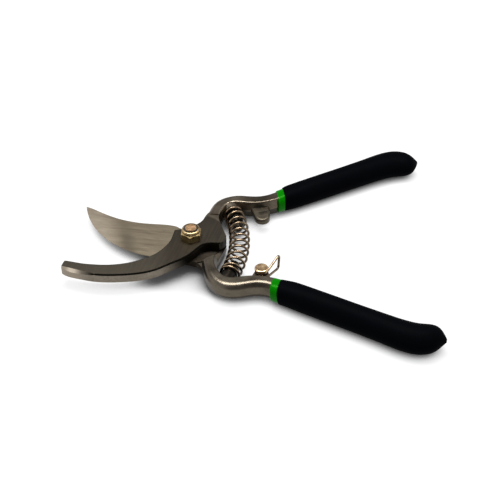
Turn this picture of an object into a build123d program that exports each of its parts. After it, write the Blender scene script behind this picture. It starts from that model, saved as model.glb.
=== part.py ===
from build123d import *
import math
import os

os.makedirs("parts", exist_ok=True)

# Pruning shears lying open on a table. Millimetres.
# Origin: on the pivot axis, in the plane the tool rests on.
# +X runs from the pivot towards the handles, +Z is up, the hook arm's handle is on +Y.

# ---------------------------------------------------------------- heights
Z_HEAD = 2.66          # top of the bolt head
Z_LAP0 = 2.70          # underside of the blade plate
Z_LAP1 = 6.28          # flat face of the blade
Z_RELIEF = 5.70        # relieved face of the blade arm outside the bearing disc
Z_HOOK0 = 6.32         # underside of the hook plate
Z_HOOK1 = 11.30        # top of the hook plate
Z_ARM0 = 1.90          # underside of the handle forgings
Z_ARM1 = 11.80         # top of the handle forgings
Z_GRIP = 6.80          # axis height of the grips
Z_TAB0, Z_TAB1 = 5.60, 8.60   # rivet lug and catch tab

# ---------------------------------------------------------------- pivot
BOLT_R = 3.0           # M6 bolt
FIT = 0.05             # running clearance on the radius
NUT_AF = 10.0          # across flats
NUT_TURN = -93.0       # direction of one nut corner, degrees
NUT_Z0 = 11.33
NUT_HEX_H = 4.2
COLLAR_R = 4.80
COLLAR_H = 1.75
BOLT_END = 18.0
DISC_R = 15.0          # bearing disc around the pivot
SHOULDER_R = 19.4      # clearance radius where the handles rise beside the plates

# ---------------------------------------------------------------- blade
EDGE_C = (-7.67, 41.55)  # centre of the cutting edge's arc
EDGE_R = 53.0
EDGE_LAND = 0.25         # thickness left at the edge
BEVEL_W = 8.5            # width of the ground bevel on the underside

# ---------------------------------------------------------------- spring
SPRING_FAR = (20.9, 26.3)
SPRING_NEAR = (20.6, -25.4)
SPRING_SAG = 4.6         # bow of the spring towards the grips
SPRING_Z = 6.85
SPRING_R = 4.95          # mean radius of the coil
WIRE_R = 0.65
TURNS = 12
END_TURNS = 1.0          # closed turns at each end
END_PITCH = 1.5

# ---------------------------------------------------------------- catch
RIVET = (37.1, -24.6)
RIVET_R = 2.0
RIVET_HEAD_R = 3.55
LOOP_R = 0.65            # wire radius
LOOP_DIR = 59.5          # direction of the legs, degrees from +X
LOOP_LEG = 13.0          # from the eyelet to the end wire
LOOP_SPLAY = 2.1         # each leg leaves the lug by this much at the end
SLOT_END = 123.0         # where the tab's slot ends, as seen from the rivet with the handles shut
CLOSE_DEG = 49.0         # travel of the handles

# ---------------------------------------------------------------- grips
GRIP_BASE = (44.5, 36.1)  # where the sleeve begins, on the handle's axis (far side)
GRIP_DEG = 28.7
DIP_TURN = {1: 10.0, -1: 9.0}  # the dip lines are turned less than the handles
SLEEVE_X = {1: 45.4, -1: 42.85}  # dip line of the under-sleeve at y = 36
GRIP_X = {1: 49.3, -1: 47.05}    # dip line of the outer grip at y = 36

# ---------------------------------------------------------------- handle forgings
DRAFT_IN = 1.3           # the inner walls lean out to a parting ridge by this much
DRAFT_Z = 4.7            # height of each leaning wall


def at(points, z):
    return [(p[0], p[1], z) for p in points]


def face_of(z, *segments):
    edges = []
    for kind, points in segments:
        pts = at(points, z)
        if kind == "spline":
            edges.append(Spline(*pts))
        elif kind == "arc":
            edges.append(ThreePointArc(*pts))
        else:
            for a, b in zip(pts[:-1], pts[1:]):
                edges.append(Line(a, b))
    return Face(Wire(edges))


def prism(z0, z1, *segments):
    return extrude(face_of(z0, *segments), amount=z1 - z0, dir=(0, 0, 1))


def edges_near(solid, points):
    return [
        min(solid.edges(), key=lambda e: (e.position_at(0.5) - Vector(*p)).length)
        for p in points
    ]


def middle(points, z):
    m = Spline(*at(points, z)).position_at(0.5)
    return (m.X, m.Y, m.Z)


def turned(p, degrees, about=(0.0, 0.0)):
    a = math.radians(degrees)
    x, y = p[0] - about[0], p[1] - about[1]
    return (
        about[0] + x * math.cos(a) - y * math.sin(a),
        about[1] + x * math.sin(a) + y * math.cos(a),
    )


def post(r, z0, z1, centre=(0.0, 0.0)):
    return Pos(centre[0], centre[1], (z0 + z1) / 2) * Cylinder(r, z1 - z0)


def rounded_path(points, radii):
    """Straight runs joined by tangent arcs through 3-D points."""
    pts = [Vector(*p) for p in points]
    edges = []
    start = pts[0]
    for i in range(1, len(pts) - 1):
        a, p, b = pts[i - 1], pts[i], pts[i + 1]
        u = (a - p).normalized()
        w = (b - p).normalized()
        half = math.radians(u.get_angle(w)) / 2
        r = radii[i - 1] if isinstance(radii, (list, tuple)) else radii
        t = r / math.tan(half)
        p0, p1 = p + u * t, p + w * t
        bis = (u + w).normalized()
        mid = p + bis * (r / math.sin(half) - r)
        if (p0 - start).length > 1e-4:
            edges.append(Line(start, p0))
        edges.append(ThreePointArc(p0, mid, p1))
        start = p1
    edges.append(Line(start, pts[-1]))
    return Wire(edges)


def tube(path, r):
    start = path.position_at(0)
    tangent = path.tangent_at(0)
    section = Plane(origin=start, z_dir=tangent) * Circle(r)
    return sweep(section, path=path)


# ================================================================ outlines
def arc_point(x):
    return (x, EDGE_C[1] - math.sqrt(EDGE_R**2 - (x - EDGE_C[0]) ** 2))


TIP = (-59.95, EDGE_C[1] - math.sqrt(EDGE_R**2 - (-59.95 - EDGE_C[0]) ** 2))
EDGE_END = arc_point(-8.0)

BLADE_SPINE = [
    (-9.0, 15.2), (-12, 16.2), (-15, 16.8), (-20, 17.3), (-25, 17.8), (-30, 18.6),
    (-35, 19.9), (-40, 21.6), (-45, 24.0), (-50, 26.9), (-55, 30.2), TIP,
]
BLADE_HEEL = [
    (14.8, 5.2), (10, 6.2), (6, 7.6), (2, 9.2), (-2, 10.8), (-6, 13.0), (-9.0, 15.2),
]
BLADE_INNER = [
    (12.0, -23.4), (12.5, -21.0), (12.9, -18.6), (13.5, -16.2), (14.4, -13.0), (15.5, -9.5),
    (16.8, -6.0), (17.9, -2.8), (18.4, -0.3), (17.6, 2.2), (14.8, 5.2),
]
BLADE_OUTER = [
    EDGE_END, (-4.0, -12.1), (0.5, -13.5), (4.3, -15.4), (6.0, -17.4), (7.4, -19.6), (9.0, -21.6), (10.6, -23.2),
]

NEAR_OUTER = [
    (6.0, -17.2), (7.0, -21.5), (7.9, -26.0), (9.1, -30.0), (10.8, -33.3), (13.2, -36.2),
    (16.2, -38.5), (20.0, -39.9), (24.0, -40.1), (28.5, -39.3), (33.0, -38.3),
    (37.5, -38.3), (42.4, -39.9), (47.2, -42.5),
]
NEAR_INNER = [
    (50.9, -36.6), (46.4, -34.1), (41.0, -32.1), (36.0, -31.1), (30.0, -31.2),
    (26.0, -31.9), (22.2, -32.4), (18.6, -31.4), (15.8, -28.3), (13.8, -24.4),
    (12.8, -20.3), (13.0, -14.6),
]

HOOK_INNER = [
    (-64.2, -18.7), (-60, -19.6), (-55, -20.9), (-50, -21.6), (-45, -22.0), (-40, -21.9),
    (-35, -21.2), (-30, -19.9), (-25, -17.8), (-21, -15.6), (-17.3, -12.6), (-14.6, -9.4),
    (-12.6, -6.2), (-11.0, -2.8), (-10.2, 0.6), (-9.7, 3.5), (-9.3, 5.9),
]
HOOK_BACK = [
    (-9.3, 5.9), (-7.0, 6.4), (-4.3, 7.1), (-1.0, 8.7), (2.4, 11.0), (4.4, 12.9),
    (5.7, 15.2), (6.55, 17.6), (7.6, 19.9), (9.1, 21.9), (10.8, 23.4),
]
HOOK_RIGHT = [
    (12.4, 23.6), (13.1, 21.4), (13.6, 19.0), (13.8, 16.0), (14.6, 13.0), (15.6, 9.6),
    (16.7, 6.2), (17.7, 3.2), (18.4, 0.5), (17.6, -2.2), (14.8, -5.3),
]
HOOK_FRONT = [
    (14.8, -5.3), (11.5, -5.2), (8.6, -5.4), (6.4, -6.4), (4.5, -8.3), (2.4, -11.2),
    (0.2, -14.0), (-2.6, -16.7), (-6.0, -19.2), (-10, -21.8), (-15, -25.3), (-20, -27.7),
    (-25, -29.1), (-30, -29.9), (-35, -30.3), (-40, -30.5), (-45, -30.3), (-50, -29.6),
    (-55, -28.3), (-60, -26.8), (-63.6, -25.2), (-65.6, -23.6),
]
HOOK_TIP = [(-65.6, -23.6), (-65.0, -21.0), (-64.2, -18.7)]

FAR_OUTER = [
    (6.6, 17.0), (7.8, 22.2), (8.9, 26.0), (10.7, 30.3), (13.9, 34.0), (18.9, 36.7),
    (24.9, 37.7), (30.0, 37.2), (35.3, 37.1), (39.5, 38.2), (43.0, 40.0), (47.2, 42.5),
]
FAR_INNER = [
    (50.9, 35.7), (46.4, 33.3), (40.5, 30.7), (35.0, 29.4), (28.0, 29.6), (22.6, 30.3),
    (19.0, 29.2), (16.9, 27.2), (15.6, 24.8), (14.5, 21.6), (13.7, 18.2), (13.9, 15.0),
]


# ================================================================ handles
def offset_inward(points, d):
    """The same line moved sideways by d, to the left of its direction."""
    out = []
    for i, p in enumerate(points):
        a = points[max(i - 1, 0)]
        b = points[min(i + 1, len(points) - 1)]
        n = math.hypot(b[0] - a[0], b[1] - a[1])
        out.append((p[0] - d * (b[1] - a[1]) / n, p[1] + d * (b[0] - a[0]) / n))
    return out


def handle(outer, inner, r_out, way):
    """Forged handle bar: near-flat top and bottom, rounded outer side, inner wall with a parting ridge."""
    ridge = offset_inward(inner, way * DRAFT_IN)
    bar = prism(
        Z_ARM0, Z_ARM1,
        ("spline", outer), ("line", [outer[-1], ridge[0]]),
        ("spline", ridge), ("line", [ridge[-1], outer[0]]),
    )
    bar = fillet(edges_near(bar, [middle(outer, Z_ARM1), middle(outer, Z_ARM0)]), r_out)
    for z, top in ((Z_ARM1, True), (Z_ARM0, False)):
        flat = bar.faces().filter_by(Axis.Z).sort_by(Axis.Z)[-1 if top else 0]
        edge = min(flat.edges(), key=lambda e: (e.position_at(0.5) - Vector(*middle(ridge, z))).length)
        bar = chamfer(edge, DRAFT_IN, DRAFT_Z, reference=flat)
    bar = fillet(edges_near(bar, [middle(inner, Z_ARM1), middle(inner, Z_ARM0)]), 0.7)
    return bar


def tang(side):
    """Bar inside the grip, thinner towards its end."""
    base = Plane(
        origin=(GRIP_BASE[0], side * GRIP_BASE[1], Z_GRIP),
        x_dir=(-math.sin(math.radians(side * GRIP_DEG)), math.cos(math.radians(side * GRIP_DEG)), 0),
        z_dir=(math.cos(math.radians(side * GRIP_DEG)), math.sin(math.radians(side * GRIP_DEG)), 0),
    )
    return loft([base.offset(3.0) * Rectangle(6.4, 8.0), base.offset(74.0) * Rectangle(4.6, 5.6)])


# spring axis: circular arc between its two ends
far_v, near_v = Vector(*SPRING_FAR, 0), Vector(*SPRING_NEAR, 0)
chord = near_v - far_v
half_chord = chord.length / 2
SPRING_ARC_R = (half_chord**2 + SPRING_SAG**2) / (2 * SPRING_SAG)
out_dir = Vector(-chord.Y, chord.X, 0).normalized()
if out_dir.X < 0:
    out_dir = out_dir * -1
arc_mid = (far_v + near_v) * 0.5
arc_c = arc_mid - out_dir * (SPRING_ARC_R - SPRING_SAG)
a_far = math.atan2(SPRING_FAR[1] - arc_c.Y, SPRING_FAR[0] - arc_c.X)
a_near = math.atan2(SPRING_NEAR[1] - arc_c.Y, SPRING_NEAR[0] - arc_c.X)
SPRING_LENGTH = SPRING_ARC_R * (a_far - a_near)


def spring_frame(s):
    """Point of the spring axis at length s from the far end, and its outward normal."""
    a = a_far - s / SPRING_ARC_R
    n = Vector(math.cos(a), math.sin(a), 0)
    return arc_c + n * SPRING_ARC_R, n


def horn(stations, from_near):
    """Tapered horn along the spring's axis; stations are length from the spring's end and radius."""
    sections = []
    for d, r in stations:
        c, n = spring_frame(SPRING_LENGTH - d if from_near else d)
        along_axis = Vector(n.Y, -n.X, 0) * (-1 if from_near else 1)
        sections.append(Plane(origin=(c.X, c.Y, SPRING_Z), x_dir=(0, 0, 1), z_dir=along_axis) * Circle(r))
    return loft(sections, ruled=True)


FAR_HORN = [(-6.0, 4.15), (0.0, 4.1), (5.0, 3.95), (10.0, 3.5), (13.0, 2.9), (14.6, 2.0)]
FAR_SEAT = [(-6.0, 4.9), (-3.0, 4.9), (-0.12, 4.75)]
NEAR_HORN = [(-7.2, 4.3), (-2.0, 4.2), (0.0, 4.1), (4.0, 3.85), (7.0, 3.3), (9.0, 2.5), (9.8, 1.7)]


# ================================================================ grips
def grip_plane(x, y, deg):
    a = math.radians(deg)
    return Plane(
        origin=(x, y, Z_GRIP), x_dir=(-math.sin(a), math.cos(a), 0), z_dir=(math.cos(a), math.sin(a), 0)
    )


def along(s):
    a = math.radians(GRIP_DEG)
    return (GRIP_BASE[0] + s * math.cos(a), GRIP_BASE[1] + s * math.sin(a))


SLEEVE_FRONT = {
    # x, y, direction, half width, half height, squareness
    1: [(41.0, 33.9, GRIP_DEG, 5.45, 5.33, 2.6), (45.5, 36.35, GRIP_DEG, 5.50, 5.35, 2.6), (49.2, 38.4, GRIP_DEG, 5.62, 5.50, 2.55)],
    -1: [(38.4, 34.4, 21.0, 5.40, 5.30, 2.6), (42.2, 35.95, 23.0, 5.42, 5.32, 2.6), (46.2, 37.75, 25.5, 5.60, 5.50, 2.55)],
}
GRIP_FRONT = {
    1: [(41.0, 33.9, GRIP_DEG, 5.66, 5.53, 2.6), (48.6, 38.05, GRIP_DEG, 5.78, 5.63, 2.55), (50.4, 39.1, GRIP_DEG, 6.12, 5.92, 2.5)],
    -1: [(38.4, 34.4, 21.0, 5.62, 5.50, 2.6), (45.8, 37.55, 25.5, 5.75, 5.63, 2.55), (47.8, 38.5, 26.5, 6.12, 5.92, 2.5)],
}
GRIP_STATIONS = [
    (*along(9.0), GRIP_DEG, 6.48, 6.25, 2.4),
    (*along(20.0), GRIP_DEG, 6.85, 6.65, 2.15),
    (*along(42.0), GRIP_DEG, 7.15, 6.80, 2.0),
    (*along(58.0), GRIP_DEG, 7.45, 6.80, 2.0),
    (100.6, 66.9, 27.4, 7.75, 6.80, 2.0),
    (104.4, 68.9, 23.0, 8.05, 6.80, 2.0),
    (108.2, 70.6, 16.5, 8.30, 6.80, 2.0),
    (111.8, 71.7, 9.5, 8.42, 6.76, 2.0),
    (115.2, 72.0, 4.0, 8.30, 6.62, 2.0),
    (118.2, 71.8, 1.5, 7.85, 6.33, 2.0),
    (120.4, 71.5, 1.5, 7.08, 5.80, 2.0),
    (122.0, 71.35, 2.5, 6.10, 5.08, 2.0),
    (123.2, 71.5, 4.0, 5.00, 4.22, 2.0),
    (124.3, 71.95, 6.0, 3.65, 3.12, 2.0),
    (125.3, 72.6, 8.0, 2.15, 1.86, 2.0),
    (126.1, 73.2, 10.0, 0.85, 0.80, 2.0),
]


def dip_zone(x, side):
    """Everything beyond the dip line that crosses y = 36 at x."""
    return Pos(x, side * 36.0, Z_GRIP) * Rot(0, 0, side * DIP_TURN[side]) * Pos(60.0, 0, 0) * Box(120.0, 160.0, 40.0)


def rounded(value, power):
    return math.copysign(abs(value) ** power, value)


def skin(stations, side):
    """Smooth skin through rounded-square sections across the handle."""
    sections = []
    for x, y, deg, a, b, n in stations:
        plane = grip_plane(x, side * y, side * deg)
        points = []
        for k in range(16):
            w = 2 * math.pi * (k + 0.5) / 16
            points.append(plane.from_local_coords((a * rounded(math.cos(w), 2 / n), b * rounded(math.sin(w), 2 / n), 0)))
        sections.append(Face(Wire([Spline(*points, periodic=True)])))
    return loft(sections, ruled=True)


def grip_solid(side):
    return skin(GRIP_FRONT[side] + GRIP_STATIONS, side) & dip_zone(GRIP_X[side], side)


def sleeve_solid(side):
    back = [(*along(12.0), GRIP_DEG, 5.80, 5.70, 2.4), (*along(77.0), GRIP_DEG, 4.8, 4.8, 2.0)]
    return skin(SLEEVE_FRONT[side] + back, side) & dip_zone(SLEEVE_X[side], side)


far_sleeve_full = sleeve_solid(1)
near_sleeve_full = sleeve_solid(-1)


def under_coat(bar, side):
    """The bar where it runs into its coat, thinned so that the coat covers it."""
    core = [(x, y, d, a - 0.22, b - 0.22, n) for x, y, d, a, b, n in SLEEVE_FRONT[side] + [(*along(12.0), GRIP_DEG, 5.80, 5.70, 2.4)]]
    return bar - (dip_zone(SLEEVE_X[side] + 0.3, side) - skin(core, side))


# ================================================================ blade arm
blade = prism(
    Z_LAP0, Z_LAP1,
    ("spline", BLADE_SPINE),
    ("arc", [TIP, arc_point(-43.5), EDGE_END]),
    ("spline", BLADE_OUTER),
    ("line", [BLADE_OUTER[-1], BLADE_INNER[0]]),
    ("spline", BLADE_INNER),
    ("spline", BLADE_HEEL),
)
# ground bevel on the underside: outside of a cone about the edge's centre
cone_h = Z_LAP1 - EDGE_LAND - Z_LAP0
bevel_keep = Pos(EDGE_C[0], EDGE_C[1], Z_LAP0) * Cone(
    EDGE_R - BEVEL_W, EDGE_R, cone_h, align=(Align.CENTER, Align.CENTER, Align.MIN)
)
bevel_zone = Pos(-45.5, 10.0, Z_LAP0 + cone_h / 2 - 0.5) * Box(55.0, 60.0, cone_h + 1.0)
bevel_ring = (
    Pos(EDGE_C[0], EDGE_C[1], Z_LAP0 + cone_h / 2 - 0.5) * Cylinder(EDGE_R + 12, cone_h + 1.0)
) & bevel_zone
low_keep = Pos(EDGE_C[0], EDGE_C[1], Z_LAP0 - 0.5) * Cylinder(EDGE_R - BEVEL_W, 1.0)
blade = blade - (bevel_ring - bevel_keep - low_keep)

# relief outside the bearing disc, on the handle side only
relief = post(SHOULDER_R + 8, Z_RELIEF, Z_LAP1 + 1) - post(DISC_R, Z_RELIEF - 1, Z_LAP1 + 2)
relief = relief & (Pos(20.0, -18.0, 6.0) * Box(40.0, 44.0, 4.0))
blade = blade - relief

near_bar = under_coat(handle(NEAR_OUTER, NEAR_INNER, 3.4, -1), -1)
near_bar = near_bar - post(SHOULDER_R, Z_RELIEF, Z_ARM1 + 1) - post(SHOULDER_R, Z_ARM0 - 1, Z_LAP0)

lug = prism(
    Z_TAB0, Z_TAB1,
    ("line", [(31.2, -32.5), (32.1, -28.2), (34.3, -23.2)]),
    ("arc", [(34.3, -23.2), (37.2, -20.9), (40.2, -23.2)]),
    ("line", [(40.2, -23.2), (41.4, -28.2), (41.9, -32.5), (31.2, -32.5)]),
)
blade_arm = blade + near_bar + tang(-1) + lug + horn(NEAR_HORN, True)
blade_arm = blade_arm - post(BOLT_R + FIT, -1, 20)
blade_arm = blade_arm - post(RIVET_R + 0.01, Z_TAB0 - 1, Z_TAB1 + 1, RIVET)

# ================================================================ hook arm
hook = prism(
    Z_HOOK0, Z_HOOK1,
    ("spline", HOOK_INNER), ("spline", HOOK_BACK),
    ("line", [HOOK_BACK[-1], HOOK_RIGHT[0]]),
    ("spline", HOOK_RIGHT), ("spline", HOOK_FRONT), ("spline", HOOK_TIP),
)
hook = fillet(edges_near(hook, [middle(HOOK_FRONT, Z_HOOK1)]), 0.9)
hook = fillet(edges_near(hook, [middle(HOOK_INNER, Z_HOOK1)]), 0.45)
# long chamfer ground on the outer top edge near the hook's tip
chamfer_plane = Plane(origin=(-57.5, -25.9, Z_HOOK1), x_dir=(0.945, -0.327, 0), z_dir=(-0.20, -0.578, 0.79))
hook = hook - (chamfer_plane * Pos(-4.0, 0, 5.0) * Box(30.0, 30.0, 10.0))

far_bar = under_coat(handle(FAR_OUTER, FAR_INNER, 3.4, 1), 1)
far_bar = far_bar - post(SHOULDER_R, Z_ARM0 - 1, Z_HOOK0)
step = Pos(9.6, 19.6, Z_HOOK1) * Rot(0, 0, -10) * Pos(0, -15.0, 1.0) * Box(40.0, 30.0, 2.0)
far_bar = far_bar - step
# scooped seat that clears the first turns of the spring
far_bar = far_bar - horn([(-0.08, SPRING_R + WIRE_R + 0.1), (3.0, SPRING_R + WIRE_R + 0.1), (6.0, SPRING_R + WIRE_R + 0.1)], False)

# catch tab with the slot that takes the end wire of the bail when the handles are shut
rivet_shut = turned(RIVET, CLOSE_DEG)
eye_r = RIVET_R + FIT + LOOP_R
end_r = math.hypot(eye_r, LOOP_LEG)
tab = prism(
    Z_TAB0, Z_TAB1,
    ("line", [(30.2, 31.0), (33.0, 21.6)]),
    ("spline", [(33.0, 21.6), (33.6, 19.9), (34.9, 18.4), (37.2, 17.6), (39.5, 18.3), (40.8, 19.8), (41.3, 21.6)]),
    ("line", [(41.3, 21.6), (41.3, 31.0), (30.2, 31.0)]),
)
tab = fillet([e for e in tab.faces().sort_by(Axis.Z)[-1].edges() if abs(e.position_at(0.5).Y - 31.0) > 0.5], 1.3)
slot = post(end_r + 1.35, Z_TAB0 - 1, Z_TAB1 + 1, rivet_shut) - post(end_r - 1.35, Z_TAB0 - 2, Z_TAB1 + 2, rivet_shut)
slot_sector = prism(
    Z_TAB0 - 1, Z_TAB1 + 1,
    ("line", [
        rivet_shut,
        (rivet_shut[0] + 40 * math.cos(math.radians(SLOT_END)), rivet_shut[1] + 40 * math.sin(math.radians(SLOT_END))),
        (rivet_shut[0] + 40 * math.cos(math.radians(60)), rivet_shut[1] + 40 * math.sin(math.radians(60))),
        rivet_shut,
    ]),
)
tab = tab - (slot & slot_sector)
hook_arm = hook + far_bar + tang(1) + tab + horn(FAR_SEAT, False) + horn(FAR_HORN, False)
hook_arm = hook_arm - post(BOLT_R + FIT, -1, 20)

# ================================================================ pivot bolt, nut, insert
hex_head = extrude(
    Pos(0, 0, 0) * RegularPolygon(NUT_AF / 2, 6, major_radius=False, rotation=12), amount=Z_HEAD
)
hex_head = hex_head & (
    Pos(0, 0, Z_HEAD / 2) * Cylinder(5.62, Z_HEAD)
)
pivot_bolt = hex_head + post(BOLT_R, Z_HEAD - 0.5, BOLT_END)
end_edge = pivot_bolt.edges().filter_by(GeomType.CIRCLE).sort_by(Axis.Z)[-1]
pivot_bolt = chamfer(end_edge, 0.32)

nut = Pos(0, 0, NUT_Z0) * extrude(
    RegularPolygon(NUT_AF / 2, 6, major_radius=False, rotation=NUT_TURN), amount=NUT_HEX_H
)
nut_trim = Pos(0, 0, NUT_Z0) * Cone(5.25, 5.95, 0.45, align=(Align.CENTER, Align.CENTER, Align.MIN))
nut_trim += post(5.95, NUT_Z0 + 0.45, NUT_Z0 + NUT_HEX_H - 0.75)
nut_trim += Pos(0, 0, NUT_Z0 + NUT_HEX_H - 0.75) * Cone(
    5.95, 4.75, 0.75, align=(Align.CENTER, Align.CENTER, Align.MIN)
)
nut = nut & nut_trim
collar_top = NUT_Z0 + NUT_HEX_H + COLLAR_H
collar = post(COLLAR_R, NUT_Z0 + NUT_HEX_H - 0.3, collar_top)
collar = fillet(collar.edges().filter_by(GeomType.CIRCLE).sort_by(Axis.Z)[-1], 0.8)
nut = nut + collar
nut = nut - post(BOLT_R + 0.02, NUT_Z0 - 1, collar_top + 1)
INSERT_R = 3.90
insert_z0, insert_z1 = NUT_Z0 + NUT_HEX_H - 0.1, collar_top - 0.25
nut = nut - post(INSERT_R + 0.01, insert_z0, collar_top + 1)
nut_insert = post(INSERT_R, insert_z0 + 0.01, insert_z1) - post(BOLT_R + 0.02, 0, 30)

# ================================================================ spring
coil_pts = []
steps = 12
total_steps = TURNS * steps
active = SPRING_LENGTH - 2 * WIRE_R - 2 * END_TURNS * END_PITCH
active_turns = TURNS - 2 * END_TURNS
for i in range(total_steps + 1):
    turn = i / steps
    if turn < END_TURNS:
        s = turn * END_PITCH
    elif turn > TURNS - END_TURNS:
        s = END_TURNS * END_PITCH + active + (turn - (TURNS - END_TURNS)) * END_PITCH
    else:
        s = END_TURNS * END_PITCH + active * (turn - END_TURNS) / active_turns
    c, n = spring_frame(WIRE_R + s)
    phi = 2 * math.pi * turn + math.radians(200)
    p = c + n * (SPRING_R * math.cos(phi))
    coil_pts.append((p.X, p.Y, SPRING_Z + SPRING_R * math.sin(phi)))
spring_path = Wire([Spline(*coil_pts)])
spring_section = Plane(origin=spring_path.position_at(0), z_dir=spring_path.tangent_at(0)) * Circle(WIRE_R)
return_spring = sweep(spring_section, path=spring_path, is_frenet=True)

# ================================================================ catch rivet and bail
eye_z1 = Z_TAB1 + 0.03 + LOOP_R
eye_z0 = Z_TAB0 - 0.03 - LOOP_R
head_z0 = eye_z1 + LOOP_R + 0.03
tail_z1 = eye_z0 - LOOP_R - 0.03
rivet_head = post(RIVET_HEAD_R, head_z0, head_z0 + 1.45, RIVET)
rivet_head = fillet(rivet_head.edges().filter_by(GeomType.CIRCLE).sort_by(Axis.Z)[-1], 0.6)
rivet_tail = post(2.9, tail_z1 - 1.5, tail_z1, RIVET)
rivet_tail = fillet(rivet_tail.edges().filter_by(GeomType.CIRCLE).sort_by(Axis.Z)[0], 0.9)
catch_rivet = rivet_head + post(RIVET_R, tail_z1 - 0.5, head_z0 + 0.5, RIVET) + rivet_tail

leg = math.radians(LOOP_DIR)
side = math.radians(LOOP_DIR - 90)
ux, uy = math.cos(leg), math.sin(leg)
tx, ty = RIVET[0] + eye_r * math.cos(side), RIVET[1] + eye_r * math.sin(side)


def loop_pt(along, z):
    return (tx + ux * along, ty + uy * along, z)


def eye_arc(z, sweep_deg):
    """Open eyelet that ends where the leg leaves it."""
    pts = []
    for d in (sweep_deg, sweep_deg / 2, 0):
        a = side - math.radians(d)
        pts.append((RIVET[0] + eye_r * math.cos(a), RIVET[1] + eye_r * math.sin(a), z))
    return ThreePointArc(*pts)


z_top, z_bot = eye_z1 + LOOP_SPLAY, eye_z0 - LOOP_SPLAY
legs = rounded_path(
    [
        loop_pt(0, eye_z1), loop_pt(2.2, eye_z1), loop_pt(LOOP_LEG + 0.5, z_top),
        loop_pt(LOOP_LEG - 0.5, z_bot), loop_pt(2.2, eye_z0), loop_pt(0, eye_z0),
    ],
    [6.0, 1.5, 1.5, 6.0],
)
top_eye = eye_arc(eye_z1, 300)
bottom_eye = eye_arc(eye_z0, 300)
bottom_eye_back = ThreePointArc(
    bottom_eye.position_at(1), bottom_eye.position_at(0.5), bottom_eye.position_at(0)
)
loop_path = Wire([top_eye] + list(legs.edges()) + [bottom_eye_back])
catch_loop = tube(loop_path, LOOP_R)


# ================================================================ coats
far_grip = grip_solid(1) - far_sleeve_full
near_grip = grip_solid(-1) - near_sleeve_full
far_under_sleeve = far_sleeve_full - hook_arm
near_under_sleeve = near_sleeve_full - blade_arm

# ================================================================ write the parts
PARTS = {
    "hook_arm": hook_arm,
    "blade_arm": blade_arm,
    "pivot_bolt": pivot_bolt,
    "lock_nut": nut,
    "nut_insert": nut_insert,
    "return_spring": return_spring,
    "catch_rivet": catch_rivet,
    "catch_loop": catch_loop,
    "far_under_sleeve": far_under_sleeve,
    "near_under_sleeve": near_under_sleeve,
    "far_grip": far_grip,
    "near_grip": near_grip,
}
for name, shape in PARTS.items():
    solids = shape.solids()
    print(name, len(solids), round(sum(s.volume for s in solids), 1))
    export_step(shape if len(solids) > 1 else solids[0], f"parts/{name}.step")
print("spring wire length", round(spring_path.length, 1), "expected volume", round(spring_path.length * math.pi * WIRE_R**2, 1))
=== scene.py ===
import math

import bpy
from mathutils import Matrix, Vector


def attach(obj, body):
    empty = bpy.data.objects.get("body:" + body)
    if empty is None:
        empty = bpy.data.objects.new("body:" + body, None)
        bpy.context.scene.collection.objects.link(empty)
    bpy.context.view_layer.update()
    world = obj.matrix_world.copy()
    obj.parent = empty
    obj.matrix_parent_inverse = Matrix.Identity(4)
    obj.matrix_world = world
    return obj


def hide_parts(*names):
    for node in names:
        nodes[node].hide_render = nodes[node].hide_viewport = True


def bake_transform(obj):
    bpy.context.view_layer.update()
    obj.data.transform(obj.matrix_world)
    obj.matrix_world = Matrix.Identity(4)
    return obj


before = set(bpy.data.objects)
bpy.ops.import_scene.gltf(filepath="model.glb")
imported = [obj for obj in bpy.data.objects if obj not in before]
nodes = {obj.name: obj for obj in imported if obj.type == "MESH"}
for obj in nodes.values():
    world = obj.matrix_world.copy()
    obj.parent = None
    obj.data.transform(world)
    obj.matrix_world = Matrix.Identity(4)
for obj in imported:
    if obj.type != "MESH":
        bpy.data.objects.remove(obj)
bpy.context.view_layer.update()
MM = 0.001


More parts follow.
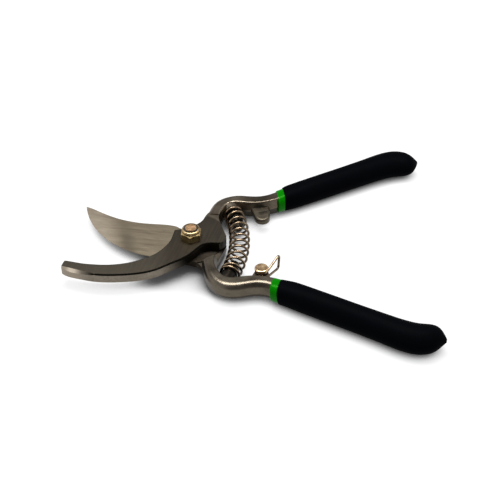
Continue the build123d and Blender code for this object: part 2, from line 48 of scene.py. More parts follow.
# ------------------------------------------------------------------ shader helpers
class Paint:
    """A principled material with a few short-hands for procedural nodes."""

    def __init__(self, name):
        self.mat = bpy.data.materials.new(name)
        self.mat.use_nodes = True
        self.nt = self.mat.node_tree
        self.bsdf = next(n for n in self.nt.nodes if n.type == "BSDF_PRINCIPLED")
        self.pos = self.nt.nodes.new("ShaderNodeTexCoord").outputs["Object"]

    def put(self, socket, value):
        if isinstance(value, bpy.types.NodeSocket):
            self.nt.links.new(value, socket)
        elif isinstance(value, (tuple, list)) and len(value) == 3 and socket.type == "RGBA":
            socket.default_value = (*value, 1.0)
        else:
            socket.default_value = value

    def set(self, **values):
        names = {
            "color": "Base Color", "metal": "Metallic", "rough": "Roughness", "normal": "Normal",
            "spec": "Specular IOR Level", "coat": "Coat Weight", "coat_rough": "Coat Roughness",
            "aniso": "Anisotropic", "sheen": "Sheen Weight",
        }
        for key, value in values.items():
            self.put(self.bsdf.inputs[names[key]], value)
        return self

    def grain(self, size, turn=(0.0, 0.0, 0.0), at=(0.0, 0.0, 0.0)):
        """Object position measured in units of size along turned axes."""
        n = self.nt.nodes.new("ShaderNodeMapping")
        n.vector_type = "TEXTURE"
        self.put(n.inputs["Vector"], self.pos)
        n.inputs["Location"].default_value = at
        n.inputs["Rotation"].default_value = [math.radians(a) for a in turn]
        n.inputs["Scale"].default_value = size
        return n.outputs["Vector"]

    def noise(self, vector, scale=1.0, detail=3.0, rough=0.55, distort=0.0):
        n = self.nt.nodes.new("ShaderNodeTexNoise")
        self.put(n.inputs["Vector"], vector)
        n.inputs["Scale"].default_value = scale
        n.inputs["Detail"].default_value = detail
        n.inputs["Roughness"].default_value = rough
        n.inputs["Distortion"].default_value = distort
        return n.outputs["Fac"]

    def voronoi(self, vector, feature="F1"):
        n = self.nt.nodes.new("ShaderNodeTexVoronoi")
        n.feature = feature
        self.put(n.inputs["Vector"], vector)
        n.inputs["Scale"].default_value = 1.0
        return n.outputs["Distance"]

    def span(self, value, a, b, c=0.0, d=1.0, smooth=False):
        n = self.nt.nodes.new("ShaderNodeMapRange")
        n.interpolation_type = "SMOOTHSTEP" if smooth else "LINEAR"
        n.clamp = True
        self.put(n.inputs["Value"], value)
        n.inputs["From Min"].default_value = a
        n.inputs["From Max"].default_value = b
        n.inputs["To Min"].default_value = c
        n.inputs["To Max"].default_value = d
        return n.outputs["Result"]

    def math(self, op, a, b=0.0):
        n = self.nt.nodes.new("ShaderNodeMath")
        n.operation = op
        self.put(n.inputs[0], a)
        self.put(n.inputs[1], b)
        return n.outputs[0]

    def mix(self, fac, a, b, mode="MIX"):
        n = self.nt.nodes.new("ShaderNodeMix")
        n.data_type = "RGBA"
        n.blend_type = mode
        n.clamp_factor = True
        self.put(n.inputs[0], fac)
        self.put(n.inputs[6], a)
        self.put(n.inputs[7], b)
        return n.outputs[2]

    def mixf(self, fac, a, b):
        n = self.nt.nodes.new("ShaderNodeMix")
        n.data_type = "FLOAT"
        self.put(n.inputs[0], fac)
        self.put(n.inputs[2], a)
        self.put(n.inputs[3], b)
        return n.outputs[0]

    def xyz(self, vector=None):
        n = self.nt.nodes.new("ShaderNodeSeparateXYZ")
        self.put(n.inputs[0], vector if vector is not None else self.pos)
        return n.outputs

    def facing_up(self):
        g = self.nt.nodes.new("ShaderNodeNewGeometry")
        n = self.nt.nodes.new("ShaderNodeSeparateXYZ")
        self.put(n.inputs[0], g.outputs["Normal"])
        return n.outputs["Z"]

    def radius(self, centre=(0.0, 0.0)):
        o = self.xyz()
        dx = self.math("SUBTRACT", o["X"], centre[0])
        dy = self.math("SUBTRACT", o["Y"], centre[1])
        return self.math("SQRT", self.math("ADD", self.math("MULTIPLY", dx, dx), self.math("MULTIPLY", dy, dy)))

    def bump(self, height, strength, distance, normal=None):
        n = self.nt.nodes.new("ShaderNodeBump")
        n.inputs["Strength"].default_value = strength
        n.inputs["Distance"].default_value = distance
        self.put(n.inputs["Height"], height)
        if normal is not None:
            self.put(n.inputs["Normal"], normal)
        return n.outputs["Normal"]


# ------------------------------------------------------------------ materials
def steel_hook():
    p = Paint("forged_steel")
    # grind lines of the flat faces, slightly fanned
    fine = p.noise(p.grain((0.016, 0.00016, 0.004), turn=(0, 0, 78)), 1.0, 4.0, 0.6)
    wide = p.noise(p.grain((0.022, 0.0009, 0.006), turn=(0, 0, 74)), 1.0, 2.0, 0.5)
    blotch = p.noise(p.grain((0.013, 0.011, 0.008)), 1.0, 4.0, 0.6)
    grit = p.noise(p.grain((0.0007, 0.0007, 0.0007)), 1.0, 3.0, 0.6)
    r = p.radius()
    x = p.xyz()["X"]
    bar = p.math("MULTIPLY", p.span(r, 0.0188, 0.0205, smooth=True), p.span(x, 0.000, 0.006, smooth=True))
    plate_col = p.mix(p.span(wide, 0.3, 0.7), (0.044, 0.037, 0.028), (0.056, 0.047, 0.036))
    plate_col = p.mix(p.math("MULTIPLY", p.span(fine, 0.35, 0.7), 0.36), plate_col, (0.088, 0.075, 0.057))
    plate_col = p.mix(p.span(x, -0.0240, -0.0080, 0.60, 0.0, smooth=True), plate_col, (0.090, 0.078, 0.060))
    plate_col = p.mix(p.math("MULTIPLY", p.span(x, -0.0160, -0.0060, 0.0, 0.30, smooth=True), p.span(x, -0.0010, 0.0060, 1.0, 0.0, smooth=True)), plate_col, (0.036, 0.028, 0.020))
    bar_col = p.mix(p.span(blotch, 0.32, 0.72), (0.070, 0.057, 0.041), (0.150, 0.125, 0.094))
    bar_col = p.mix(p.math("MULTIPLY", p.span(grit, 0.45, 0.75), 0.4), bar_col, (0.048, 0.038, 0.027))
    # painted light: the bar is paler along its bend, where its top face catches the light
    bar_col = p.mix(p.span(x, 0.0230, 0.0330, 0.55, 0.0, smooth=True), bar_col, (0.230, 0.192, 0.145))
    col = p.mix(bar, plate_col, bar_col)
    up = p.facing_up()
    # painted light: the side walls get a paler copy of the steel than the top faces, standing in for the bright floor
    # they reflect
    wall_col = p.mix(p.span(blotch, 0.30, 0.70), (0.146, 0.125, 0.097), (0.226, 0.196, 0.157))
    y = p.xyz()["Y"]
    wall_col = p.mix(p.math("MULTIPLY", p.span(grit, 0.44, 0.66), 0.55), wall_col, (0.080, 0.069, 0.052))
    # painted highlight: a bright facet at the hook tip, paler still at its very end
    facet_col = p.mix(p.span(x, -0.0640, -0.0605, smooth=True), (0.52, 0.435, 0.335), (1.0, 0.860, 0.680))
    tip_col = p.mix(p.span(up, 0.40, 0.60), (0.27, 0.229, 0.180), facet_col)
    wall_col = p.mix(p.span(x, -0.0600, -0.0500, 0.80, 0.0, smooth=True), wall_col, tip_col)
    # painted shade: the walls towards the heel are coloured near black
    heel = p.span(x, -0.016, -0.001, smooth=True)
    wall_col = p.mix(heel, wall_col, (0.024, 0.020, 0.015))
    edge = p.mixf(heel, p.mixf(p.span(x, -0.0585, -0.0545, 1.0, 0.0), p.span(up, 0.55, 0.92, 1.0, 0.0), p.span(up, 0.90, 0.98, 1.0, 0.0)), p.span(up, 0.90, 0.985, 1.0, 0.0))
    wall = p.math("MULTIPLY", edge, p.math("SUBTRACT", 1.0, bar))
    tab = p.math("MULTIPLY", p.math("MULTIPLY", p.span(x, 0.0290, 0.0315), p.span(x, 0.0420, 0.0435, 1.0, 0.0)), p.span(y, 0.0265, 0.0290, 1.0, 0.0))
    col = p.mix(tab, col, p.mix(p.span(blotch, 0.30, 0.70), (0.062, 0.052, 0.038), (0.112, 0.095, 0.071)))
    col = p.mix(wall, col, wall_col)
    # painted shade: the rolled top edge of hook and plate is coloured near black, darker than the faces it joins,
    # standing in for the dark reflection along it
    rim = p.math("MULTIPLY", p.span(up, 0.28, 0.45), p.span(up, 0.985, 0.997, 1.0, 0.0))
    rim = p.math("MULTIPLY", p.math("MULTIPLY", rim, p.span(x, -0.0540, -0.0480, smooth=True)), p.math("SUBTRACT", 1.0, bar))
    col = p.mix(rim, col, (0.0026, 0.0024, 0.0018))
    # painted shade: downward-facing surfaces are darkened
    below = p.span(up, -0.22, -0.02, 1.0, 0.0)
    col = p.mix(p.math("MULTIPLY", below, 0.8), col, (0.018, 0.015, 0.011))
    # painted shade: the far spring horn, inside the coil, is coloured near black
    horn = p.math("MULTIPLY", p.math("MULTIPLY", p.span(x, 0.0180, 0.0195, smooth=True), p.span(x, 0.0280, 0.0290, 1.0, 0.0)), p.span(y, 0.0248, 0.0263, 1.0, 0.0, smooth=True))
    col = p.mix(p.math("MULTIPLY", horn, 0.93), col, (0.014, 0.012, 0.009))
    rough_plate = p.span(fine, 0.25, 0.75, 0.29, 0.41)
    rough_plate = p.mixf(rim, rough_plate, 0.55)
    rough_bar = p.mixf(tab, p.span(blotch, 0.25, 0.75, 0.25, 0.37), 0.40)
    h = p.mixf(bar, p.math("MULTIPLY", fine, 0.55), p.math("ADD", p.math("MULTIPLY", grit, 0.3), p.math("MULTIPLY", blotch, 1.6)))
    p.set(color=col, metal=1.0, rough=p.mixf(bar, rough_plate, rough_bar), normal=p.bump(h, 0.35, 0.00006))
    return p.mat


def steel_blade():
    p = Paint("blade_steel")
    o = p.xyz()
    fine = p.noise(p.grain((0.020, 0.00015, 0.004), turn=(0, 0, -9)), 1.0, 4.0, 0.62)
    wide = p.noise(p.grain((0.034, 0.0011, 0.006), turn=(0, 0, -8)), 1.0, 3.0, 0.55)
    blotch = p.noise(p.grain((0.013, 0.011, 0.008), at=(0.03, 0.01, 0)), 1.0, 4.0, 0.6)
    grit = p.noise(p.grain((0.0007, 0.0007, 0.0007)), 1.0, 3.0, 0.6)
    r = p.radius()
    bar = p.math("MULTIPLY", p.span(r, 0.0145, 0.0156, smooth=True), p.span(o["X"], -0.001, 0.004, smooth=True))
    blade_col = p.mix(p.span(wide, 0.3, 0.7), (0.160, 0.131, 0.090), (0.212, 0.177, 0.125))
    blade_col = p.mix(p.math("MULTIPLY", p.span(fine, 0.4, 0.72), 0.45), blade_col, (0.280, 0.236, 0.172))
    # painted reflection: a soft darker band across the middle of the ground face, and a painted paler reflection
    # towards the tip
    lean = p.math("ADD", o["X"], p.math("MULTIPLY", o["Y"], 0.22))
    sheen = p.math("MULTIPLY", p.span(lean, -0.0390, -0.0345, smooth=True), p.span(lean, -0.0335, -0.0280, 1.0, 0.0, smooth=True))
    sheen = p.math("MULTIPLY", sheen, p.span(o["Y"], 0.0060, 0.0135, 1.0, 0.35, smooth=True))
    blade_col = p.mix(p.math("MULTIPLY", sheen, 0.46), blade_col, (0.088, 0.076, 0.061))
    cloudy = p.noise(p.grain((0.011, 0.0034, 0.004), turn=(0, 0, -14)), 1.0, 3.0, 0.55)
    blade_col = p.mix(p.span(cloudy, 0.42, 0.68, 0.0, 0.40), blade_col, (0.100, 0.082, 0.057))
    # painted reflection: the ground face is paler towards the tip
    tip = p.span(lean, -0.048, -0.034, 1.0, 0.0, smooth=True)
    blade_col = p.mix(p.math("MULTIPLY", p.math("MULTIPLY", tip, 0.66), p.span(cloudy, 0.35, 0.65, 1.0, 0.62)), blade_col, (0.47, 0.40, 0.315))
    bar_col = p.mix(p.span(blotch, 0.32, 0.72), (0.075, 0.063, 0.047), (0.150, 0.128, 0.098))
    bar_col = p.mix(p.math("MULTIPLY", p.span(grit, 0.45, 0.75), 0.35), bar_col, (0.050, 0.041, 0.030))
    # the plate beyond the ground face is darker, partly its own forged tone and partly painted shade where it lies
    # under the hook arm
    plate = p.span(p.math("SUBTRACT", o["X"], p.math("MULTIPLY", o["Y"], 0.5)), -0.0105, -0.0070, smooth=True)
    plate_col = p.mix(p.span(blotch, 0.32, 0.72), (0.026, 0.021, 0.015), (0.050, 0.041, 0.031))
    blade_col = p.mix(plate, blade_col, plate_col)
    col = p.mix(bar, blade_col, bar_col)
    # painted shade: downward-facing surfaces of the bar are darkened
    below = p.span(p.facing_up(), -0.22, -0.02, 1.0, 0.0)
    col = p.mix(p.math("MULTIPLY", p.math("MULTIPLY", below, bar), 0.8), col, (0.018, 0.015, 0.011))
    # painted shade: the near spring horn inside the coil end is coloured near black
    horn = p.math("MULTIPLY", p.math("MULTIPLY", p.span(o["X"], 0.0150, 0.0165), p.span(o["X"], 0.0275, 0.0285, 1.0, 0.0)), p.math("MULTIPLY", p.span(o["Y"], -0.0335, -0.0320), p.span(o["Z"], 0.0108, 0.0114, 1.0, 0.0)))
    col = p.mix(p.math("MULTIPLY", horn, 0.93), col, (0.012, 0.010, 0.008))
    rough_blade = p.span(fine, 0.25, 0.75, 0.34, 0.46)
    rough_bar = p.span(blotch, 0.25, 0.75, 0.25, 0.37)
    h = p.mixf(bar, p.math("MULTIPLY", fine, 0.5), p.math("ADD", p.math("MULTIPLY", grit, 0.3), p.math("MULTIPLY", blotch, 1.6)))
    p.set(color=col, metal=1.0, rough=p.mixf(bar, rough_blade, rough_bar), normal=p.bump(h, 0.35, 0.00006))
    return p.mat


def yellow_zinc():
    p = Paint("yellow_zinc")
    cloud = p.noise(p.grain((0.0042, 0.0042, 0.0036)), 1.0, 3.0, 0.6)
    grit = p.noise(p.grain((0.0005, 0.0005, 0.0005)), 1.0, 3.0, 0.6)
    col = p.mix(p.span(cloud, 0.32, 0.68), (0.33, 0.240, 0.098), (0.55, 0.420, 0.200))
    col = p.mix(p.math("MULTIPLY", p.span(grit, 0.5, 0.75), 0.35), col, (0.26, 0.185, 0.08))
    collar = p.span(p.xyz()["Z"], 0.0148, 0.0162, smooth=True)
    col = p.mix(p.math("MULTIPLY", collar, 0.55), col, (0.40, 0.285, 0.160))
    p.set(color=col, metal=1.0, rough=p.span(cloud, 0.3, 0.7, 0.24, 0.38), normal=p.bump(grit, 0.25, 0.00005))
    return p.mat


def bolt_zinc():
    p = Paint("bolt_zinc")
    z = p.xyz()["Z"]
    cloud = p.noise(p.grain((0.0017, 0.0017, 0.0017)), 1.0, 4.0, 0.65)
    grit = p.noise(p.grain((0.0006, 0.0006, 0.0006)), 1.0, 3.0, 0.6)
    end = p.span(z, 0.0174, 0.0177, smooth=True)
    zinc = p.mix(p.span(cloud, 0.3, 0.7), (0.42, 0.30, 0.13), (0.66, 0.49, 0.26))
    pink = p.mix(p.span(cloud, 0.36, 0.66), (0.31, 0.185, 0.092), (0.49, 0.310, 0.175))
    p.set(color=p.mix(end, zinc, pink), metal=1.0, rough=p.span(cloud, 0.3, 0.7, 0.32, 0.46),
          normal=p.bump(p.math("ADD", cloud, p.math("MULTIPLY", grit, 0.5)), 0.4, 0.00010))
    return p.mat


def nylon():
    p = Paint("nylon_black")
    grit = p.noise(p.grain((0.0004, 0.0004, 0.0004)), 1.0, 2.0, 0.5)
    p.set(color=p.mix(grit, (0.004, 0.0035, 0.003), (0.010, 0.009, 0.008)), rough=p.span(grit, 0.2, 0.8, 0.45, 0.6), spec=0.3,
          normal=p.bump(grit, 0.2, 0.00004))
    return p.mat


def plated_wire(name="plated_wire", dark=(0.100, 0.070, 0.043), light=(0.330, 0.245, 0.160)):
    p = Paint(name)
    cloud = p.noise(p.grain((0.0030, 0.0030, 0.0030)), 1.0, 3.0, 0.6)
    fine = p.noise(p.grain((0.0004, 0.0004, 0.0004)), 1.0, 3.0, 0.6)
    col = p.mix(p.span(cloud, 0.30, 0.70), dark, light)
    col = p.mix(p.math("MULTIPLY", p.span(fine, 0.5, 0.75), 0.25), col, tuple(0.5 * c for c in dark))
    # painted shade: faces turned away from the top are darkened
    col = p.mix(p.span(p.facing_up(), 0.05, 0.50, 0.62, 0.0, smooth=True), col, tuple(0.22 * c for c in dark))
    p.set(color=col, metal=1.0, rough=p.span(cloud, 0.3, 0.7, 0.17, 0.28), normal=p.bump(fine, 0.18, 0.00004))
    return p.mat


def vinyl_green():
    p = Paint("vinyl_green")
    soft = p.noise(p.grain((0.0045, 0.0045, 0.0045)), 1.0, 2.0, 0.5)
    fine = p.noise(p.grain((0.0004, 0.0004, 0.0004)), 1.0, 3.0, 0.6)
    p.bsdf.inputs["Specular Tint"].default_value = (0.12, 1.0, 0.03, 1.0)
    p.set(color=p.mix(soft, (0.0008, 0.100, 0.0002), (0.0014, 0.128, 0.0004)), rough=p.span(fine, 0.3, 0.7, 0.20, 0.28),
          spec=0.11, normal=p.bump(p.math("ADD", fine, p.math("MULTIPLY", soft, 2.0)), 0.18, 0.00006))
    return p.mat


def vinyl_black():
    p = Paint("vinyl_black")
    pebble = p.voronoi(p.grain((0.00042, 0.00042, 0.00042)), "SMOOTH_F1")
    fine = p.noise(p.grain((0.00030, 0.00030, 0.00030)), 1.0, 3.0, 0.6)
    slow = p.noise(p.grain((0.012, 0.012, 0.012)), 1.0, 2.0, 0.5)
    h = p.math("ADD", p.math("MULTIPLY", pebble, 0.6), p.math("MULTIPLY", fine, 0.6))
    p.set(color=p.mix(slow, (0.0007, 0.0009, 0.0013), (0.0012, 0.0015, 0.0021)), rough=p.span(fine, 0.3, 0.7, 0.46, 0.60),
          spec=0.006, normal=p.bump(h, 0.5, 0.00008))
    return p.mat


M_HOOK = steel_hook()
M_BLADE = steel_blade()
M_ZINC = yellow_zinc()
M_BOLT = bolt_zinc()
M_NYLON = nylon()
M_WIRE = plated_wire()
M_RIVET = plated_wire("rivet_plating", (0.66, 0.440, 0.240), (0.92, 0.650, 0.390))
M_GREEN = vinyl_green()
M_BLACK = vinyl_black()


def dress(obj, material):
    obj.data.materials.clear()
    obj.data.materials.append(material)
    for poly in obj.data.polygons:
        poly.material_index = 0


for name, material in (
    ("hook_arm", M_HOOK), ("blade_arm", M_BLADE), ("pivot_bolt", M_BOLT), ("lock_nut", M_ZINC),
    ("nut_insert", M_NYLON), ("return_spring", M_WIRE), ("catch_rivet", M_RIVET), ("catch_loop", M_WIRE),
    ("far_under_sleeve", M_GREEN), ("near_under_sleeve", M_GREEN), ("far_grip", M_BLACK), ("near_grip", M_BLACK),
):
    dress(nodes[name], material)


# ------------------------------------------------------------------ mesh helpers
def make_object(name, verts, faces, material, smooth=True):
    mesh = bpy.data.meshes.new(name)
    mesh.from_pydata(verts, [], faces)
    mesh.validate()
    mesh.update()
    obj = bpy.data.objects.new(name, mesh)
    bpy.context.scene.collection.objects.link(obj)
    mesh.materials.append(material)
    for poly in mesh.polygons:
        poly.use_smooth = smooth
    return obj


def rings_to_faces(count, sides, cap_start=True, cap_end=True):
    faces = []
    for i in range(count - 1):
        for k in range(sides):
            a, b = i * sides + k, i * sides + (k + 1) % sides
            faces.append((a, b, b + sides, a + sides))
    if cap_start:
        faces.append(tuple(reversed(range(sides))))
    if cap_end:
        faces.append(tuple(range((count - 1) * sides, count * sides)))
    return faces


def spline(values, t):
    """Catmull-Rom through equally numbered rows of values; t runs from 0 to len-1."""
    n = len(values) - 1
    i = min(int(math.floor(t)), n - 1)
    f = t - i
    out = []
    for k in range(len(values[0])):
        p1, p2 = values[i][k], values[i + 1][k]
        p0 = values[i - 1][k] if i > 0 else 2 * p1 - p2
        p3 = values[i + 2][k] if i + 2 <= n else 2 * p2 - p1
        out.append(p1 + 0.5 * f * (p2 - p0 + f * (2 * p0 - 5 * p1 + 4 * p2 - p3 + f * (3 * (p1 - p2) + p3 - p0))))
    return out


# ------------------------------------------------------------------ return spring
SPRING_FAR, SPRING_NEAR = (20.9, 26.3), (20.6, -25.4)
SPRING_SAG, SPRING_Z, SPRING_R, WIRE_R = 4.6, 6.85, 4.95, 0.65
TURNS, END_TURNS, END_PITCH = 12, 1.0, 1.5


def spring_mesh():
    far, near = Vector((*SPRING_FAR, 0)), Vector((*SPRING_NEAR, 0))
    chord = near - far
    half = chord.length / 2
    arc_r = (half * half + SPRING_SAG * SPRING_SAG) / (2 * SPRING_SAG)
    out = Vector((-chord.y, chord.x, 0)).normalized()
    if out.x < 0:
        out = -out
    centre = (far + near) / 2 - out * (arc_r - SPRING_SAG)
    a_far = math.atan2(far.y - centre.y, far.x - centre.x)
    a_near = math.atan2(near.y - centre.y, near.x - centre.x)
    length = arc_r * (a_far - a_near)
    active = length - 2 * WIRE_R - 2 * END_TURNS * END_PITCH
    steps, sides = 44, 14

    def point(turn):
        if turn < END_TURNS:
            s = turn * END_PITCH
        elif turn > TURNS - END_TURNS:
            s = END_TURNS * END_PITCH + active + (turn - (TURNS - END_TURNS)) * END_PITCH
        else:
            s = END_TURNS * END_PITCH + active * (turn - END_TURNS) / (TURNS - 2 * END_TURNS)
        a = a_far - (WIRE_R + s) / arc_r
        n = Vector((math.cos(a), math.sin(a), 0))
        phi = 2 * math.pi * turn + math.radians(200)
        p = centre + n * arc_r + n * (SPRING_R * math.cos(phi))
        side = (n * math.cos(phi) + Vector((0, 0, math.sin(phi)))).normalized()
        return Vector((p.x, p.y, SPRING_Z + SPRING_R * math.sin(phi))), side

    count = TURNS * steps + 1
    track = [point(i / steps) for i in range(count)]
    verts = []
    for i, (p, side) in enumerate(track):
        a = track[max(i - 1, 0)][0]
        b = track[min(i + 1, count - 1)][0]
        t = (b - a).normalized()
        side = (side - t * side.dot(t)).normalized()
        other = t.cross(side)
        edge = min(i, count - 1 - i)
        r = WIRE_R * (0.86 if edge == 0 else 1.0)
        for k in range(sides):
            w = 2 * math.pi * k / sides
            q = p + side * (r * math.cos(w)) + other * (r * math.sin(w))
            verts.append(q * MM)
    return verts, rings_to_faces(count, sides)


v, f = spring_mesh()
spring = make_object("spring_coil", v, f, M_WIRE)
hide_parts("return_spring")
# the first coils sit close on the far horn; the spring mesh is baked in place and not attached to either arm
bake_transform(spring)

# ------------------------------------------------------------------ grips and bands
GRIP_BASE, GRIP_DEG, GRIP_Z = (44.5, 36.1), 28.7, 6.8
DIP_TURN = {1: 10.0, -1: 9.0}
SLEEVE_X = {1: 45.4, -1: 42.85}
GRIP_X = {1: 49.3, -1: 47.05}
SLEEVE_BOW = {1: 0.0, -1: 0.9}   # how far the dip line runs ahead on the outer top side
GRIP_BOW = {1: 0.0, -1: 1.3}
SIDES = 96


def along(s):
    a = math.radians(GRIP_DEG)
    return (GRIP_BASE[0] + s * math.cos(a), GRIP_BASE[1] + s * math.sin(a))


SLEEVE_ROWS = {
    # x, y, direction, half width, half height, squareness
    1: [(36.5, 31.45, GRIP_DEG, 5.40, 5.30, 2.6), (41.0, 33.9, GRIP_DEG, 5.45, 5.33, 2.6), (45.5, 36.35, GRIP_DEG, 5.50, 5.35, 2.6),
        (49.2, 38.4, GRIP_DEG, 5.62, 5.50, 2.55), (*along(12.0), GRIP_DEG, 5.80, 5.70, 2.4)],
    -1: [(34.6, 33.0, 20.0, 5.38, 5.28, 2.6), (38.4, 34.4, 21.0, 5.40, 5.30, 2.6), (42.2, 35.95, 23.0, 5.42, 5.32, 2.6),
         (46.2, 37.75, 25.5, 5.60, 5.50, 2.55), (*along(12.0), GRIP_DEG, 5.80, 5.70, 2.4)],
}
GRIP_FRONT = {
    1: [(41.0, 33.9, GRIP_DEG, 5.66, 5.53, 2.6), (44.8, 36.0, GRIP_DEG, 5.70, 5.57, 2.6), (48.6, 38.05, GRIP_DEG, 5.78, 5.63, 2.55),
        (50.4, 39.1, GRIP_DEG, 6.08, 5.90, 2.5)],
    -1: [(38.4, 34.4, 21.0, 5.62, 5.50, 2.6), (42.2, 35.95, 23.0, 5.66, 5.54, 2.6), (45.8, 37.55, 25.5, 5.75, 5.63, 2.55),
         (47.8, 38.5, 26.5, 6.08, 5.90, 2.5)],
}
GRIP_ROWS = [
    (*along(9.0), GRIP_DEG, 6.45, 6.23, 2.4),
    (*along(14.0), GRIP_DEG, 6.68, 6.46, 2.27),
    (*along(20.0), GRIP_DEG, 6.84, 6.64, 2.15),
    (*along(31.0), GRIP_DEG, 7.02, 6.76, 2.05),
    (*along(42.0), GRIP_DEG, 7.14, 6.79, 2.0),
    (*along(50.0), GRIP_DEG, 7.27, 6.79, 2.0),
    (*along(58.0), GRIP_DEG, 7.44, 6.79, 2.0),
    (100.6, 66.9, 27.4, 7.74, 6.79, 2.0),
    (104.4, 68.9, 23.0, 8.04, 6.79, 2.0),
    (108.2, 70.6, 16.5, 8.29, 6.79, 2.0),
    (111.8, 71.7, 9.5, 8.41, 6.75, 2.0),
    (115.2, 72.0, 4.0, 8.29, 6.61, 2.0),
    (118.2, 71.8, 1.5, 7.84, 6.32, 2.0),
    (120.4, 71.5, 1.5, 7.07, 5.79, 2.0),
    (122.0, 71.35, 2.5, 6.09, 5.07, 2.0),
    (123.2, 71.5, 4.0, 4.99, 4.21, 2.0),
    (124.3, 71.95, 6.0, 3.64, 3.11, 2.0),
    (125.3, 72.6, 8.0, 2.14, 1.85, 2.0),
    (126.05, 73.15, 10.0, 0.84, 0.79, 2.0),
]


def signed_power(value, power):
    return math.copysign(abs(value) ** power, value)


def skin_point(rows, t, k, side, inset=0.0):
    x, y, deg, a, b, n = spline(rows, t)
    c = math.radians(side * deg)
    w = 2 * math.pi * (k + 0.5) / SIDES
    across = (a - inset) * signed_power(math.cos(w), 2 / n)
    up = (b - inset) * signed_power(math.sin(w), 2 / n)
    return Vector((x - math.sin(c) * across, side * y + math.cos(c) * across, GRIP_Z + up))


def dip_t(rows, k, side, x_dip, bow, beyond):
    """Row number where side line k crosses the dip line, moved on by a length."""
    turn = math.radians(side * DIP_TURN[side])
    normal = Vector((math.cos(turn), math.sin(turn), 0))
    start = Vector((x_dip, side * 36.0, 0))
    w = 2 * math.pi * (k + 0.5) / SIDES
    wanted = beyond - bow * max(0.0, math.cos(w - math.radians(140))) ** 1.3
    low, high = 0.0, len(rows) - 1.0
    for _ in range(40):
        mid = (low + high) / 2
        if normal.dot(skin_point(rows, mid, k, side) - start) < wanted:
            low = mid
        else:
            high = mid
    return (low + high) / 2


def coat(side, name, rows, x_dip, bow, lip, stops, material, node, body):
    """Dipped coat: a rounded lip along the dip line, then rows that turn square to the handle."""
    verts, count = [], 0
    for beyond, inset in lip:
        for k in range(SIDES):
            verts.append(skin_point(rows, dip_t(rows, k, side, x_dip, bow, beyond), k, side, inset) * MM)
        count += 1
    first = [dip_t(rows, k, side, x_dip, bow, lip[-1][0]) for k in range(SIDES)]
    square = stops[0]
    for i in range(1, 13):
        u = i / 12
        for k in range(SIDES):
            verts.append(skin_point(rows, first[k] + (square - first[k]) * u, k, side) * MM)
        count += 1
    for t in stops[1:]:
        for k in range(SIDES):
            verts.append(skin_point(rows, t, k, side) * MM)
        count += 1
    faces = rings_to_faces(count, SIDES)
    obj = make_object(name, verts, faces, material)
    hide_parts(node)
    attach(obj, body)
    return obj


GRIP_LIP = ((0.16, 0.42), (0.03, 0.22), (0.0, 0.12), (0.05, 0.05), (0.16, 0.01), (0.32, 0.0))
SLEEVE_LIP = ((0.5, 2.0), (0.12, 0.55), (0.0, 0.26), (0.04, 0.13), (0.14, 0.045), (0.32, 0.0))
for side, word, body in ((1, "far", "hook_side"), (-1, "near", "blade_side")):
    rows = GRIP_FRONT[side] + GRIP_ROWS
    last = len(rows) - 1
    stops = [6.0] + [6.0 + (last - 6.0) * i / 120 for i in range(1, 121)]
    coat(side, word + "_grip_skin", rows, GRIP_X[side], GRIP_BOW[side], GRIP_LIP, stops, M_BLACK, word + "_grip", body)
    coat(side, word + "_band", SLEEVE_ROWS[side], SLEEVE_X[side], SLEEVE_BOW[side], SLEEVE_LIP, [4.0], M_GREEN, word + "_under_sleeve", body)

# ------------------------------------------------------------------ floor, light, camera
floor_mesh = bpy.data.meshes.new("floor")
floor_mesh.from_pydata([(-3, -3, 0), (3, -3, 0), (3, 3, 0), (-3, 3, 0)], [], [(0, 1, 2, 3)])
floor = bpy.data.objects.new("floor", floor_mesh)
bpy.context.scene.collection.objects.link(floor)
fp = Paint("floor")
fp.set(color=(0.115, 0.115, 0.115), rough=0.9, spec=0.03)
# the floor glows white; painted shadow: its glow is dimmed by ambient occlusion near the tool, and more tightly where
# parts nearly touch it
near_tool = fp.nt.nodes.new("ShaderNodeAmbientOcclusion")
near_tool.samples = 12
near_tool.inputs["Distance"].default_value = 0.034
# painted shadow: the glow is dimmed further in a ring around the pivot
pivot_shadow = fp.span(fp.radius((-0.003, -0.017)), 0.012, 0.032, 0.36, 0.0, smooth=True)
glow = fp.span(fp.math("SUBTRACT", near_tool.outputs["AO"], pivot_shadow), 0.08, 0.48, 0.04, 0.86)
touching = fp.nt.nodes.new("ShaderNodeAmbientOcclusion")
touching.samples = 12
touching.inputs["Distance"].default_value = 0.007
glow = fp.math("MULTIPLY", glow, fp.span(touching.outputs["AO"], 0.15, 0.72, 0.25, 1.0))
fp.bsdf.inputs["Emission Color"].default_value = (1.0, 1.0, 1.0, 1.0)
fp.put(fp.bsdf.inputs["Emission Strength"], glow)
floor_mesh.materials.append(fp.mat)


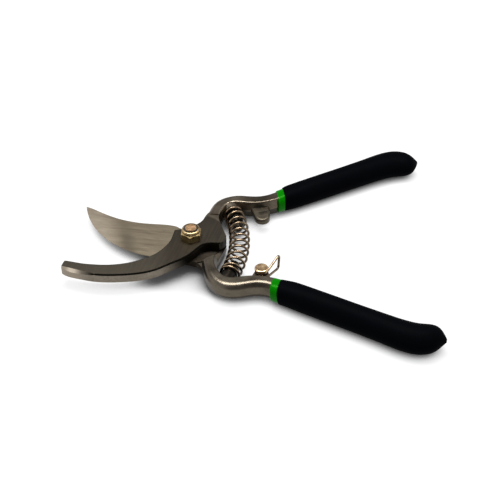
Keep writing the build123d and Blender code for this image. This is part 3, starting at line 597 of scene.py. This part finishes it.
def softbox(name, location, target, size, power, colour=(1.0, 1.0, 1.0)):
    data = bpy.data.lights.new(name, "AREA")
    data.shape = "RECTANGLE"
    data.size, data.size_y = size
    data.energy = power
    data.color = colour
    obj = bpy.data.objects.new(name, data)
    obj.location = location
    obj.rotation_mode = "QUATERNION"
    obj.rotation_quaternion = (Vector(target) - Vector(location)).to_track_quat("-Z", "Y")
    bpy.context.scene.collection.objects.link(obj)
    return obj


softbox("overhead", (0.02, 0.19, 0.75), (0.03, 0.0, 0.0), (0.62, 0.26), 11.0)

world = bpy.data.worlds.new("studio")
bpy.context.scene.world = world
world.use_nodes = True
back = next(n for n in world.node_tree.nodes if n.type == "BACKGROUND")
back.inputs["Color"].default_value = (0.98, 0.98, 1.0, 1.0)
# dark room with broad white flats to the left and right of the table
sky = world.node_tree.nodes
view = sky.new("ShaderNodeTexCoord")
split = sky.new("ShaderNodeSeparateXYZ")
sideways = sky.new("ShaderNodeMath")
sideways.operation = "MULTIPLY"
gain = sky.new("ShaderNodeMath")
gain.operation = "MULTIPLY_ADD"
gain.inputs[1].default_value = 1.25
gain.inputs[2].default_value = 0.20
world.node_tree.links.new(view.outputs["Generated"], split.inputs[0])
world.node_tree.links.new(split.outputs["X"], sideways.inputs[0])
world.node_tree.links.new(split.outputs["X"], sideways.inputs[1])
world.node_tree.links.new(sideways.outputs[0], gain.inputs[0])
world.node_tree.links.new(gain.outputs[0], back.inputs["Strength"])

cam_data = bpy.data.cameras.new("camera")
cam_data.sensor_width = 36.0
cam_data.lens = 81.88
cam_data.clip_start, cam_data.clip_end = 0.01, 20.0
cam = bpy.data.objects.new("camera", cam_data)
right = Vector((0.999802944, 0.0146462825, -0.0134000085))
up = Vector((0.000901463, 0.640825591, 0.767685970))
fwd = Vector((-0.0198308139, 0.767546772, -0.640686109))
place = Matrix.Identity(4)
for row in range(3):
    place[row][0], place[row][1], place[row][2] = right[row], up[row], -fwd[row]
place[0][3], place[1][3], place[2][3] = 0.04278298746, -0.46377680051, 0.38952164166
cam.matrix_world = place
bpy.context.scene.collection.objects.link(cam)
bpy.context.scene.camera = cam
bpy.context.scene.view_settings.view_transform = "Standard"
